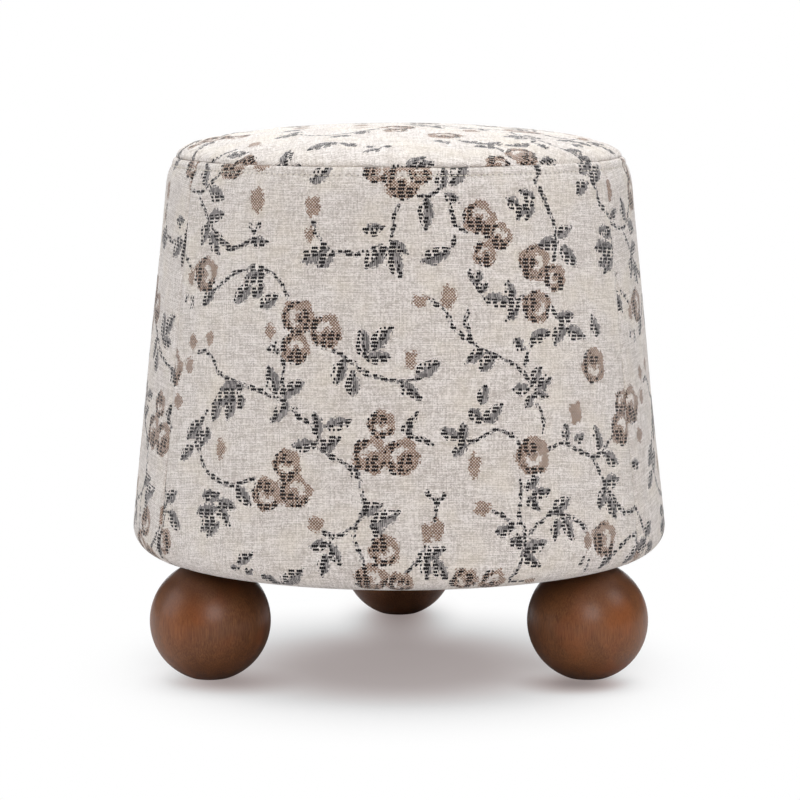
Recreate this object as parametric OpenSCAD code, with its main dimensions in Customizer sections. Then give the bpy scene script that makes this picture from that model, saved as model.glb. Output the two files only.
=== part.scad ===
// Round tapered footstool on three ball feet. A frame of two plywood discs and softwood
// uprights stands inside a thin bent wrap. Foam and wadding go over it, then a sewn fabric
// cover of three side panels and a crowned top panel. Turned wooden balls are its feet.
// Millimetres, +Z up. The origin is on the floor under the middle, and the front faces -Y.

/* [Body] */
// Widest diameter of the covered body, just above its rounded lower edge
body_d = 406; // [370:2:460]
// Height of the side panels, from the turned-under edge to the top seam
side_h = 298; // [240:2:340]
// Lean of the sides from upright, in degrees
taper = 6; // [3:0.5:8]
// Radius of the rounded lower edge
edge_r = 18; // [17:1:24]
// Radius of the soft shoulder under the top seam
shoulder_r = 44; // [30:1:56]
// Angle that the shoulder turns through up to the top seam, in degrees
shoulder_turn = 30; // [18:1:40]
// Height of the top's crown over the top seam
crown_h = 24; // [18:1:34]

/* [Cover] */
// Thickness of the woven cover
cover_t = 1.2; // [0.8:0.1:2]
// Width of cover that is turned under and stapled to the base board
hem_w = 45; // [40:1:70]
// Height of the topstitched band of the side panels at the top seam
band_h = 5.5; // [3:0.5:8]
// How far that band stands proud of the panels
band_rise = 0.8; // [0.4:0.1:1.4]
// Thickness of the dust cover
dust_t = 0.8; // [0.4:0.1:1.5]
// Distance from the dust cover's rim to the start of the rounded edge
dust_margin = 5; // [3:0.5:7]

/* [Padding] */
// Thickness of the foam round the sides
side_foam_t = 12; // [8:1:14]
// Height of the seat pad's upright edge, from the seat board to the top seam
pad_edge_h = 30; // [26:1:45]
// Thickness of the wadding over the seat pad
wadding_t = 8; // [4:1:12]
// Space left between layers that lie on each other
layer_gap = 0.3; // [0.2:0.05:0.5]

/* [Frame] */
// Thickness of the two plywood discs
board_t = 15; // [12:1:18]
// Height of the bevel round the base board's lower rim, where the foam tucks under
board_bevel = 5; // [4:0.5:7]
// Distance from the base board's flat underside to the start of the rounded edge
board_margin = 2; // [1:0.5:4]
// Thickness of the bent wrap
shell_t = 3; // [2:0.5:4]
// Width of the butt joint where the wrap's two ends meet at the back
shell_joint = 1; // [0.5:0.5:3]
// Width of an upright, along the rim
upright_w = 40; // [32:1:48]
// Depth of an upright, towards the middle
upright_d = 25; // [20:1:30]

/* [Feet] */
// Diameter of a ball foot
ball_d = 90; // [76:1:100]
// Diameter of the flats on top of and under a ball
flat_d = 32; // [28:1:40]
// Distance from a foot's middle to the start of the body's rounded edge
foot_inset = 23; // [18:1:45]

/* [Fasteners] */
// Diameter of a hanger bolt
bolt_d = 8; // [6:1:10]
// Length of a hanger bolt inside its foot
bolt_in_foot = 32; // [24:1:40]
// Diameter of a tee nut's flange
nut_flange_d = 23; // [18:1:26]
// Thickness of a tee nut's flange and barrel
nut_wall = 1.4; // [1:0.1:2]
// Length of a tee nut's barrel
nut_barrel = 11; // [8:0.5:11.5]
// Diameter of a frame screw
screw_d = 4.5; // [4:0.5:6]
// Length of a frame screw
screw_len = 50; // [40:1:70]
// Diameter of a frame screw's countersunk head
screw_head_d = 9; // [8:0.5:12]
// Bevel on a hanger bolt's upper end
bolt_bevel = 1; // [0.5:0.1:1.5]
// Space between a bolt or screw and the wall of its hole
hole_gap = 0.15; // [0.05:0.05:0.3]

/* [Hidden] */
$fn = 96;

// The feet stand under the panels' seams: one at the back, two in front.
FOOT_REAR = 90;
FOOT_FRONT_LEFT = 210;
FOOT_FRONT_RIGHT = 330;
foot_angles = [FOOT_REAR, FOOT_FRONT_LEFT, FOOT_FRONT_RIGHT];
panel_angle = 360 / len(foot_angles);
upright_n = 6;
upright_step = 360 / upright_n;

ball_r = ball_d / 2;
flat_r = flat_d / 2;
bolt_r = bolt_d / 2;
screw_r = screw_d / 2;
// How far a cut runs past the face that it opens.
past = bolt_bevel;

// Levels, from the floor up.
ball_h = 2 * sqrt(ball_r * ball_r - flat_r * flat_r);
cover_z = ball_h + dust_t;
base_z = cover_z + cover_t;
base_top = base_z + board_t;
seam_z = cover_z + side_h;
seat_top = seam_z - pad_edge_h;
seat_z = seat_top - board_t;

// Insets of the layers behind the cover's outer face, at the sides and under the crown.
foam_in = cover_t + layer_gap;
wrap_in = foam_in + side_foam_t + layer_gap;
frame_in = wrap_in + shell_t;
pad_crown_in = foam_in + wadding_t + layer_gap;

// The rounded lower edge and the shoulder are arcs about these two centres.
edge_x = body_d / 2 - edge_r;
edge_z = cover_z + edge_r;
foot_r = edge_x - foot_inset;
seam_angle = taper + shoulder_turn;
shoulder_z = seam_z - shoulder_r * sin(seam_angle);
shoulder_x = side_r(shoulder_z) - shoulder_r / cos(taper);

board_r = side_r(base_top, frame_in) - layer_gap;
board_foot_r = min(edge_x - board_margin, board_r);
wrap_z = base_z + board_bevel;
seat_r = side_r(seat_top, frame_in) - layer_gap;
hem_r = edge_x - hem_w;
dust_r = edge_x - dust_margin;
nut_barrel_r = bolt_r + hole_gap + nut_wall;

// The uprights' outer corners lie just inside the wrap at both ends.
upright_x0 = chord_x(side_r(base_top, frame_in) - layer_gap);
upright_x1 = chord_x(side_r(seat_z, frame_in) - layer_gap);
upright_lean = atan2(upright_x0 - upright_x1, seat_z - base_top);

FABRIC = [0.80, 0.77, 0.71];
STAINED = [0.36, 0.18, 0.09];
PLY = [0.80, 0.66, 0.47];
SOFTWOOD = [0.84, 0.71, 0.52];
WRAP = [0.60, 0.46, 0.31];
FOAM = [0.92, 0.88, 0.66];
WADDING = [0.95, 0.95, 0.93];
DUST = [0.12, 0.12, 0.13];
STEEL = [0.72, 0.72, 0.70];

// Radius of the leaning side at height z, inset by the given distance.
function side_r(z, inset = 0) =
    edge_x + (edge_r - inset) / cos(taper) - (z - edge_z) * tan(taper);

// Distance from the axis to the flat outer face of an upright whose corners reach r.
function chord_x(r) = sqrt(r * r - upright_w * upright_w / 4);

// Points along an arc, both ends included.
function arc(x, z, r, from, to, steps) = [
    for (i = [0 : steps])
        let (a = from + (to - from) * i / steps)
        [x + r * cos(a), z + r * sin(a)]
];

// Points along the crown, from its rim to the axis: a quarter of an ellipse.
function crown(r, h, steps) = [
    for (i = [0 : steps])
        let (a = 90 * i / steps)
        [r * cos(a), seam_z + h * sin(a)]
];

// Half section of the padded body, inset at the sides and under the crown.
module body_section(side_in, crown_in) {
    rim_r = shoulder_x + (shoulder_r - side_in) * cos(seam_angle);
    polygon(concat(
        [[0, cover_z + side_in]],
        arc(edge_x, edge_z, edge_r - side_in, -90, taper, 12),
        arc(shoulder_x, shoulder_z, shoulder_r - side_in, taper, seam_angle, 8),
        crown(rim_r, crown_h - crown_in, 24)
    ));
}

// Part of a half section from radius r outwards, between two heights.
module zone(r, z0, z1) {
    translate([r, z0]) square([body_d, z1 - z0]);
}

// Half section of the base board, grown by the given clearance.
module base_section(grow) {
    polygon([
        [0, base_z - grow],
        [board_foot_r + grow, base_z - grow],
        [board_r + grow, wrap_z],
        [board_r + grow, base_top + grow],
        [0, base_top + grow]
    ]);
}

// Half section of all that the side foam goes round, grown by the given clearance.
module core_section(grow) {
    core_in = wrap_in - grow;
    rim_r = shoulder_x + (shoulder_r - core_in) * cos(seam_angle);
    polygon(concat(
        [[0, wrap_z - grow], [side_r(wrap_z - grow, core_in), wrap_z - grow]],
        arc(shoulder_x, shoulder_z, shoulder_r - core_in, taper, seam_angle, 8),
        [[rim_r, seam_z], [0, seam_z]]
    ));
}

// One sewn thickness of cover, from the turned-under hem over the crown.
module cover_section() {
    difference() {
        body_section(0, 0);
        body_section(cover_t, cover_t);
    }
}

// Half section of the side panels, with the raised band at their top.
module side_cover_section() {
    intersection() {
        cover_section();
        zone(hem_r, cover_z, seam_z);
    }
    intersection() {
        difference() {
            body_section(-band_rise, 0);
            body_section(cover_t, cover_t);
        }
        zone(hem_r, seam_z - band_h, seam_z);
    }
}

// A bolt's way through the hem and the dust cover.
module bolt_holes(r) {
    for (a = foot_angles)
        rotate([0, 0, a])
            translate([foot_r, 0, ball_h / 2])
                cylinder(h = base_top, r = r);
}

module side_panel(from) {
    color(FABRIC)
        difference() {
            rotate([0, 0, from])
                rotate_extrude(angle = panel_angle)
                    side_cover_section();
            bolt_holes(bolt_r + hole_gap);
        }
}

module side_cover_front() side_panel(FOOT_FRONT_LEFT);
module side_cover_rear_right() side_panel(FOOT_FRONT_RIGHT);
module side_cover_rear_left() side_panel(FOOT_REAR);

module top_cover() {
    color(FABRIC)
        rotate_extrude()
            intersection() {
                cover_section();
                zone(0, seam_z, seam_z + body_d);
            }
}

module top_wadding() {
    color(WADDING)
        rotate_extrude()
            intersection() {
                difference() {
                    body_section(foam_in, foam_in);
                    body_section(foam_in + wadding_t, foam_in + wadding_t);
                }
                zone(0, seam_z, seam_z + body_d);
            }
}

module top_foam() {
    color(FOAM)
        rotate_extrude()
            intersection() {
                body_section(wrap_in, pad_crown_in);
                zone(0, seat_top, seam_z + body_d);
            }
}

module side_foam() {
    color(FOAM)
        rotate_extrude()
            difference() {
                intersection() {
                    body_section(foam_in, foam_in);
                    zone(hem_r, cover_z, seam_z - layer_gap);
                }
                base_section(layer_gap);
                core_section(layer_gap);
            }
}

module shell_wrap() {
    gap_angle = shell_joint / board_r * 180 / PI;
    color(WRAP)
        rotate([0, 0, FOOT_REAR + gap_angle / 2])
            rotate_extrude(angle = 360 - gap_angle)
                polygon([
                    [side_r(wrap_z, frame_in), wrap_z],
                    [side_r(wrap_z, wrap_in), wrap_z],
                    [side_r(seat_top, wrap_in), seat_top],
                    [side_r(seat_top, frame_in), seat_top]
                ]);
}

module dust_cover() {
    color(DUST)
        difference() {
            translate([0, 0, ball_h]) cylinder(h = dust_t, r = dust_r);
            bolt_holes(bolt_r + hole_gap);
        }
}

// A countersunk screw along +Z, head down, grown by the given clearance.
module screw(grow = 0) {
    r = screw_r + grow;
    head_r = screw_head_d / 2 + grow;
    head_h = head_r - r;
    rotate_extrude()
        polygon([
            [0, -grow],
            [head_r, -grow],
            [r, head_h],
            [r, screw_len - screw_d + grow],
            [0, screw_len + grow]
        ]);
}

module place_base_screws(grow = 0) {
    for (k = [0 : upright_n - 1])
        rotate([0, 0, k * upright_step])
            translate([upright_x0 - upright_d / 2, 0, base_z + layer_gap])
                screw(grow);
}

module place_seat_screws(grow = 0) {
    for (k = [0 : upright_n - 1])
        rotate([0, 0, k * upright_step])
            translate([upright_x1 - upright_d / 2, 0, seat_top - layer_gap])
                rotate([180, 0, 0])
                    screw(grow);
}

module base_screws() color(STEEL) place_base_screws();
module seat_screws() color(STEEL) place_seat_screws();

module base_board() {
    color(PLY)
        difference() {
            rotate_extrude() base_section(0);
            for (a = foot_angles)
                rotate([0, 0, a])
                    translate([foot_r, 0, base_z - past])
                        cylinder(h = board_t + 2 * past, r = nut_barrel_r + hole_gap);
            place_base_screws(hole_gap);
            base_screw_mouths();
        }
}

// The recess under each base screw's head, open to the board's underside.
module base_screw_mouths() {
    for (k = [0 : upright_n - 1])
        rotate([0, 0, k * upright_step])
            translate([upright_x0 - upright_d / 2, 0, base_z - past])
                cylinder(h = past + layer_gap, r = screw_head_d / 2 + hole_gap);
}

module seat_board() {
    color(PLY)
        difference() {
            translate([0, 0, seat_z]) cylinder(h = board_t, r = seat_r);
            place_seat_screws(hole_gap);
            for (k = [0 : upright_n - 1])
                rotate([0, 0, k * upright_step])
                    translate([upright_x1 - upright_d / 2, 0, seat_top - layer_gap])
                        cylinder(h = past + layer_gap, r = screw_head_d / 2 + hole_gap);
        }
}

module upright(k) {
    spare = upright_d;
    length = (seat_z - base_top) / cos(upright_lean) + 2 * spare;
    color(SOFTWOOD)
        difference() {
            rotate([0, 0, k * upright_step])
                intersection() {
                    translate([upright_x0, 0, base_top])
                        rotate([0, -upright_lean, 0])
                            translate([-upright_d, -upright_w / 2, -spare])
                                cube([upright_d, upright_w, length]);
                    translate([0, -upright_w, base_top])
                        cube([body_d, 2 * upright_w, seat_z - base_top]);
                }
            place_base_screws(hole_gap);
            place_seat_screws(hole_gap);
        }
}

// A turned ball with a flat on top and a flat to stand on, bored for its bolt.
module ball_foot(angle) {
    color(STAINED)
        rotate([0, 0, angle])
            translate([foot_r, 0, 0])
                difference() {
                    intersection() {
                        translate([0, 0, ball_h / 2]) sphere(r = ball_r);
                        cylinder(h = ball_h, r = ball_r + past);
                    }
                    translate([0, 0, ball_h - bolt_in_foot - hole_gap])
                        cylinder(h = bolt_in_foot + hole_gap + past, r = bolt_r + hole_gap);
                }
}

module foot_front_left() ball_foot(FOOT_FRONT_LEFT);
module foot_front_right() ball_foot(FOOT_FRONT_RIGHT);
module foot_rear() ball_foot(FOOT_REAR);

// Bolts with a point in the foot and a plain end level with the base board's top.
module hanger_bolts() {
    top = base_top - ball_h;
    color(STEEL)
        for (a = foot_angles)
            rotate([0, 0, a])
                translate([foot_r, 0, ball_h])
                    rotate_extrude()
                        polygon([
                            [0, -bolt_in_foot],
                            [bolt_r / 2, -bolt_in_foot],
                            [bolt_r, -bolt_in_foot + bolt_d],
                            [bolt_r, top - bolt_bevel],
                            [bolt_r - bolt_bevel, top],
                            [0, top]
                        ]);
}

// Nuts with a flange on the base board's upper face and a barrel down in its hole.
module tee_nuts() {
    bore = bolt_r + hole_gap;
    color(STEEL)
        for (a = foot_angles)
            rotate([0, 0, a])
                translate([foot_r, 0, base_top])
                    rotate_extrude()
                        polygon([
                            [bore, -nut_barrel],
                            [nut_barrel_r, -nut_barrel],
                            [nut_barrel_r, 0],
                            [nut_flange_d / 2, 0],
                            [nut_flange_d / 2, nut_wall],
                            [bore, nut_wall]
                        ]);
}

foot_front_left();
foot_front_right();
foot_rear();
hanger_bolts();
tee_nuts();
base_board();
upright(0);  // upright_1
upright(1);  // upright_2
upright(2);  // upright_3
upright(3);  // upright_4
upright(4);  // upright_5
upright(5);  // upright_6
seat_board();
base_screws();
seat_screws();
shell_wrap();
side_foam();
top_foam();
top_wadding();
dust_cover();
side_cover_front();
side_cover_rear_right();
side_cover_rear_left();
top_cover();
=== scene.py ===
import math

import bmesh
import bpy
import numpy as np
from mathutils import Matrix, Vector


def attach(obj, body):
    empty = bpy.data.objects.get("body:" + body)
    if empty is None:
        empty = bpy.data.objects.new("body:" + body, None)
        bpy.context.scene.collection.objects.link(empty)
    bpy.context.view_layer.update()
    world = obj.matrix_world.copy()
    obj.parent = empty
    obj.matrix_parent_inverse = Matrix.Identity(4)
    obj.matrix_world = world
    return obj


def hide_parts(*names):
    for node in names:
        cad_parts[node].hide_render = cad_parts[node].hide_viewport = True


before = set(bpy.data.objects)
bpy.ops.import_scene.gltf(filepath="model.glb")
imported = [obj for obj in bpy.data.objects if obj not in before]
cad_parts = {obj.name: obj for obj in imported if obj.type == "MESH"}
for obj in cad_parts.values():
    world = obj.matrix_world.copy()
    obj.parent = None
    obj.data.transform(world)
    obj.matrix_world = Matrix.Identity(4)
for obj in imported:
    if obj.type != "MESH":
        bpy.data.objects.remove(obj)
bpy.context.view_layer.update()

# Plywood discs
# The base board carries the feet, and the seat board carries the pad. Both are discs sawn
# from 15 mm birch plywood, sanded, with the plies showing round the rim. They stay as the
# frame has them and get their wood here.


class Wire:
    """One socket of a material. Arithmetic on wires adds Math nodes beside it."""

    def __init__(self, tree, socket=None):
        self.tree = tree
        self.socket = socket

    def node(self, kind, inputs, out=0, **settings):
        """Adds a node: its settings, then its sockets' values or links."""
        made = self.tree.nodes.new(kind)
        for name, value in settings.items():
            setattr(made, name, value)
        for name, value in inputs.items():
            if isinstance(value, Wire):
                self.tree.links.new(value.socket, made.inputs[name])
            else:
                made.inputs[name].default_value = value
        return Wire(self.tree, made.outputs[out])

    def math(self, operation, first, *rest):
        return self.node("ShaderNodeMath", dict(enumerate((first, *rest))), operation=operation)

    def __add__(self, other):
        return self.math("ADD", self, other)

    def __sub__(self, other):
        return self.math("SUBTRACT", self, other)

    def __rsub__(self, other):
        return self.math("SUBTRACT", other, self)

    def __mul__(self, other):
        return self.math("MULTIPLY", self, other)

    def __truediv__(self, other):
        return self.math("DIVIDE", self, other)

    def __rtruediv__(self, other):
        return self.math("DIVIDE", other, self)

    def __lt__(self, other):
        return self.math("LESS_THAN", self, other)

    def __gt__(self, other):
        return self.math("GREATER_THAN", self, other)

    __radd__ = __add__
    __rmul__ = __mul__

    def fade(self, low, high, to_low=0.0, to_high=1.0):
        """Goes smoothly from to_low at low to to_high at high."""
        limits = {"Value": self, "From Min": low, "From Max": high,
                  "To Min": to_low, "To Max": to_high}
        return self.node("ShaderNodeMapRange", limits, interpolation_type="SMOOTHSTEP")

    def blend(self, colour, other):
        """This wire as a mask between two colours."""
        return self.node("ShaderNodeMix", {0: self, 6: colour, 7: other}, 2, data_type="RGBA")

    def point(self, x, y, z=0.0):
        return self.node("ShaderNodeCombineXYZ", {"X": x, "Y": y, "Z": z})

    def parts(self):
        made = self.tree.nodes.new("ShaderNodeSeparateXYZ")
        self.tree.links.new(self.socket, made.inputs[0])
        return [Wire(self.tree, made.outputs[k]) for k in range(3)]

    def noise(self, scale, detail=2.0, rough=0.5):
        values = {"Vector": self, "Scale": scale, "Detail": detail, "Roughness": rough}
        return self.node("ShaderNodeTexNoise", values)

    def bump(self, strength, distance):
        values = {"Height": self, "Strength": strength, "Distance": distance}
        return self.node("ShaderNodeBump", values)


def tint(red, green, blue):
    """A colour from its usual 0 to 255 values."""
    shares = (red / 255, green / 255, blue / 255)
    linear = [((share + 0.055) / 1.055) ** 2.4 if share > 0.04 else share / 12.92
              for share in shares]
    return (*linear, 1.0)


def finish(name, build):
    """A material whose shader takes what build(start) returns, by socket name."""
    material = bpy.data.materials.new(name)
    material.use_nodes = True
    shader = material.node_tree.nodes["Principled BSDF"]
    for socket, value in build(Wire(material.node_tree)).items():
        if isinstance(value, Wire):
            material.node_tree.links.new(value.socket, shader.inputs[socket])
        else:
            shader.inputs[socket].default_value = value
    return material


def place(start):
    """Object coordinates, as x, y and z in millimetres."""
    where = start.node("ShaderNodeTexCoord", {}, 3)
    return [part * 1000 for part in where.parts()]


def coat_node(name, material):
    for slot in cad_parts[name].material_slots:
        slot.material = material


def plywood(start):
    x, y, z = place(start)
    radius = start.math("SQRT", x * x + y * y)
    (base_in, base_out), (seat_in, seat_out), between_boards = (183.5, 190), (156, 162), 300
    base_rim = (radius > base_in) * (radius < base_out) * (z < between_boards)
    seat_rim = (radius > seat_in) * (radius < seat_out) * (z > between_boards)
    grain = start.point(x * 0.02, y * 0.5, z * 0.5).noise(1.0, 5.0, 0.6)
    rings = start.point(x * 0.004, y * 0.05).noise(1.0, 2.0)
    bands = start.math("SINE", z * 3.77 + rings * 2)
    face = grain.fade(0.3, 0.7).blend(tint(205, 172, 126), tint(226, 198, 154))
    edge = (bands > 0).blend(tint(150, 108, 66), tint(224, 196, 150))
    mask = start.math("MAXIMUM", base_rim, seat_rim)
    height = grain + bands * mask * 0.3
    return {"Base Color": mask.blend(face, edge), "Roughness": grain.fade(0, 1, 0.5, 0.7),
            "Normal": height.bump(0.3, 0.0004)}


birch_ply = finish("birch_plywood", plywood)
for name in ("base_board", "seat_board"):
    coat_node(name, birch_ply)

# Uprights
# Six planed pine posts between the two discs, each screwed at both ends. Long pale grain
# runs up them.


def softwood(start):
    x, y, z = place(start)
    wander = start.point(x * 0.02, y * 0.02, z * 0.004).noise(1.0, 2.0)
    rings = start.math("SINE", (x * 0.7 + y * 1.1) + wander * 18)
    fibre = start.point(x * 0.9, y * 0.9, z * 0.02).noise(1.0, 4.0, 0.65)
    late = rings.fade(0.2, 1.0)
    colour = (late * 0.7 + fibre * 0.3).blend(tint(232, 205, 158), tint(196, 146, 92))
    return {"Base Color": colour, "Roughness": fibre.fade(0, 1, 0.5, 0.72),
            "Normal": (fibre + late * 0.4).bump(0.3, 0.0003)}


pine = finish("planed_pine", softwood)
for number in range(1, 7):
    coat_node(f"upright_{number}", pine)

# Screws, bolts and tee nuts
# Bright zinc-plated steel: twelve countersunk screws hold the uprights, and a hanger bolt
# in each foot turns into a tee nut driven into the base board.


def zinc_steel(start):
    x, y, z = place(start)
    spangle = start.point(x, y, z).noise(0.35, 2.0)
    turning = start.point(x * 0.3, y * 0.3, z * 6).noise(1.0, 2.0)
    thread = start.math("SINE", z * 5.03 + start.math("ARCTAN2", y, x))
    colour = spangle.fade(0.35, 0.65).blend(tint(188, 190, 190), tint(214, 213, 206))
    return {"Base Color": colour, "Metallic": 1.0, "Roughness": turning.fade(0.2, 0.8, 0.24, 0.42),
            "Normal": (thread * 0.5 + turning * 0.2).bump(0.35, 0.0003)}


zinc = finish("zinc_plate", zinc_steel)
for name in ("base_screws", "seat_screws", "hanger_bolts", "tee_nuts"):
    coat_node(name, zinc)

# Bent wrap
# A sheet of thin grey-brown board bent round the frame and stapled, so that the foam has a
# smooth drum to lie on. Its ends meet at the back.


def wrap_board(start):
    x, y, z = place(start)
    flecks = start.point(x, y, z).noise(1.4, 3.0, 0.7)
    sweep = start.point(x * 0.03, y * 0.03, z * 0.2).noise(1.0, 2.0)
    tone = (flecks * 0.6 + sweep * 0.4).fade(0.35, 0.65)
    colour = tone.blend(tint(142, 112, 80), tint(176, 146, 110))
    return {"Base Color": colour, "Roughness": flecks.fade(0, 1, 0.7, 0.9),
            "Normal": flecks.bump(0.2, 0.0002)}


coat_node("shell_wrap", finish("bent_wrap_board", wrap_board))

# Side foam
# A 12 mm sheet of soft foam glued round the wrap. Its lower edge rolls under the base
# board's bevel, and its upper edge ends under the top seam.

# The cover's outer face, in metres: the leaning side joins two arcs, the rounded lower edge
# and the shoulder, which ends at the top seam. The padding's layers are inset from it.
lean = math.radians(6)
seam_angle = math.radians(36)
edge_x, edge_z, edge_r = 0.185, 0.1029, 0.018
shoulder_x, shoulder_z, shoulder_r = 0.132146, 0.357037, 0.044
foam_in, wrap_in, layer_gap = 0.0015, 0.0138, 0.0003


def arc(x, z, radius, start, end, count):
    """Points of a half section along an arc, both ends included."""
    angles = np.linspace(start, end, count + 1)
    return [(x + radius * math.cos(a), z + radius * math.sin(a)) for a in angles]


def turn(name, outline, steps, sweep=math.tau, closed=False):
    """Draws a half section from one vertex, edge by edge, and spins it upright."""
    bpy.ops.object.select_all(action="DESELECT")
    bpy.ops.mesh.primitive_plane_add(size=0.01, location=(outline[0][0], 0, outline[0][1]))
    piece = bpy.context.object
    piece.name = piece.data.name = name
    bpy.ops.object.transform_apply(location=True, rotation=True, scale=True)
    bpy.ops.object.mode_set(mode="EDIT")
    bpy.ops.mesh.select_mode(type="VERT")
    bpy.ops.mesh.merge(type="CENTER")
    for (x, z), (next_x, next_z) in zip(outline, outline[1:]):
        step = {"value": (next_x - x, 0, next_z - z)}
        bpy.ops.mesh.extrude_region_move(TRANSFORM_OT_translate=step)
    if closed:
        shape = bmesh.from_edit_mesh(piece.data)
        shape.verts.ensure_lookup_table()
        for end in (0, -1):
            shape.verts[end].select = True
        shape.select_flush(True)
        bpy.ops.mesh.edge_face_add()
    bpy.ops.mesh.select_all(action="SELECT")
    bpy.ops.mesh.spin(steps=steps, angle=sweep, center=(0, 0, 0), axis=(0, 0, -1))
    bpy.ops.mesh.select_all(action="SELECT")
    bpy.ops.mesh.remove_doubles(threshold=1e-6)
    bpy.ops.mesh.normals_make_consistent(inside=False)
    bpy.ops.object.mode_set(mode="OBJECT")
    bpy.ops.object.shade_smooth()
    return piece


def vertex_rows(piece, field):
    """Three numbers for each vertex of a piece, as an array with one row for each."""
    flat = np.empty(len(piece.data.vertices) * 3)
    piece.data.vertices.foreach_get(field, flat)
    return flat.reshape(-1, 3)


def points_of(piece):
    """The places of a piece's vertices, in millimetres."""
    return vertex_rows(piece, "co") * 1000


def move_points(piece, places):
    piece.data.vertices.foreach_set("co", (places / 1000).ravel())
    piece.data.update()


def settle(piece, material, slot, *nodes):
    """Gives a finished piece its material and its body, and hides the nodes it stands for. The
    slot is not used.
    """
    piece.data.materials.clear()
    piece.data.materials.append(material)
    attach(piece, "root")
    if nodes:
        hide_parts(*nodes)


def open_foam(start):
    x, y, z = place(start)
    where = start.point(x, y, z)
    cells = start.node("ShaderNodeTexVoronoi", {"Vector": where, "Scale": 0.9})
    ageing = where.noise(0.03, 3.0)
    colour = ageing.fade(0.35, 0.7).blend(tint(238, 228, 184), tint(222, 200, 142))
    return {"Base Color": colour, "Roughness": cells.fade(0, 1, 0.8, 0.98),
            "Normal": cells.bump(0.5, 0.0008)}


foam = finish("cut_foam", open_foam)
foam_end = seam_angle - 0.008
wrap_foot_r, wrap_foot_z = 0.1895, 0.0908
board_rim_r, board_foot_r, board_foot_z = 0.1868, 0.1832, 0.0866
foam_outline = (
    arc(edge_x, edge_z, edge_r - foam_in, -math.pi / 2, lean, count=14)
    + arc(shoulder_x, shoulder_z, shoulder_r - foam_in, lean, foam_end, count=8)
    + arc(shoulder_x, shoulder_z, shoulder_r - wrap_in + layer_gap, foam_end, lean, count=8)
    + [(wrap_foot_r, wrap_foot_z), (board_rim_r, wrap_foot_z), (board_foot_r, board_foot_z)]
)
side_foam = turn("side_foam_sheet", foam_outline, steps=120, closed=True)
settle(side_foam, foam, "foam", "side_foam")

# Seat pad and wadding
# A crowned pad of firm foam stands on the seat board, glued down, and a layer of fluffy
# fibre wadding is wrapped over it so that no hard edge shows through the cover.

seam_z, crown_h = 0.3829, 0.024
pad_z, pad_foot_r, pad_start_angle = 0.3529, 0.1583, 0.3
wadding_in, pad_in = 0.0095, 0.0098


def fibre_wadding(start):
    x, y, z = place(start)
    where = start.point(x, y, z)
    fibres = start.point(x * 0.3, y * 1.6, z).noise(1.0, 5.0, 0.7)
    lumps = where.noise(0.08, 3.0)
    colour = fibres.fade(0.3, 0.7).blend(tint(232, 232, 228), tint(250, 250, 248))
    return {"Base Color": colour, "Roughness": lumps.fade(0, 1, 0.85, 1.0),
            "Normal": (fibres + lumps).bump(0.5, 0.001)}


def crown_arc(inset, top_in, count=24):
    """Half section of the crown from its rim to the axis, inset from the cover's outer face."""
    rim = shoulder_x + (shoulder_r - inset) * math.cos(seam_angle)
    angles = np.linspace(0, math.pi / 2, count + 1)
    return [(rim * math.cos(a), seam_z + (crown_h - top_in) * math.sin(a)) for a in angles]


pad_outline = (
    [(0, pad_z), (pad_foot_r, pad_z)]
    + arc(shoulder_x, shoulder_z, shoulder_r - wrap_in, pad_start_angle, seam_angle, count=6)[1:]
    + crown_arc(wrap_in, pad_in)[1:-1]
    + [(0, seam_z + crown_h - pad_in)]
)
seat_pad = turn("seat_pad", pad_outline, steps=96)
settle(seat_pad, foam, "foam", "top_foam")

wadding_outline = (
    crown_arc(foam_in, foam_in)[:-1]
    + [(0, seam_z + crown_h - foam_in), (0, seam_z + crown_h - wadding_in)]
    + crown_arc(wadding_in, wadding_in)[-2::-1]
)
pad_wadding = turn("pad_wadding", wadding_outline, steps=96, closed=True)
places = points_of(pad_wadding)
fluff_height, fluffy_above = 0.3, 386
fluff = np.sin(places[:, 0] / 9) * np.sin(places[:, 1] / 11) * fluff_height
places[:, 2] += np.where(places[:, 2] > fluffy_above, fluff - fluff_height, 0)
move_points(pad_wadding, places)
settle(pad_wadding, finish("fluffy_wadding", fibre_wadding), "wadding", "top_wadding")

# Side panels of the cover
# Three panels of jacquard upholstery cloth, joined by upright seams over the feet, pulled
# down over the foam, turned under the rounded edge and stapled to the base board. The cloth
# is cream slub linen with sprays of grey leaves and tan blossoms woven into it.

# The drawing is in millimetres on the flat cloth, u across and v up. It stands in columns
# COLUMN_GAP apart, where it comes again after twice HALF_REPEAT. Each column is one
# HALF_REPEAT higher than the one before.
COLUMN_GAP = 327
HALF_REPEAT = 191

# Round blossoms: middle, radius, and the turn of the pale eye.
BLOSSOMS = [
    (-73, 165, 13, 175), (-52, 155, 12, 120), (-75, 143, 11, 90), (3, 260, 13, 75),
    (16, 266, 8, 180), (-16, 268, 9, 20), (58, 235, 12, 70), (73, 222, 10, 65),
    (62, 210, 9, 105), (102, 204, 13, 0), (120, 194, 10, 200), (104, 173, 12, 350),
    (-82, 61, 11, 270), (-98, 40, 12, 250), (-75, 42, 12, 55), (-12, 90, 10, 270),
    (-20, 68, 13, 115), (2, 67, 13, 130), (-10, 1, 11, 300), (-20, -20, 12, 20),
    (1, -24, 10, 220), (100, 67, 14, 285), (159, 131, 13, 280), (-134, 277, 13, 60),
    (-132, 296, 9, 150), (168, 6, 13, 0), (127, 321, 14, 70), (48, -21, 10, 200),
    (70, -23, 10, 120),
]

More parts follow.
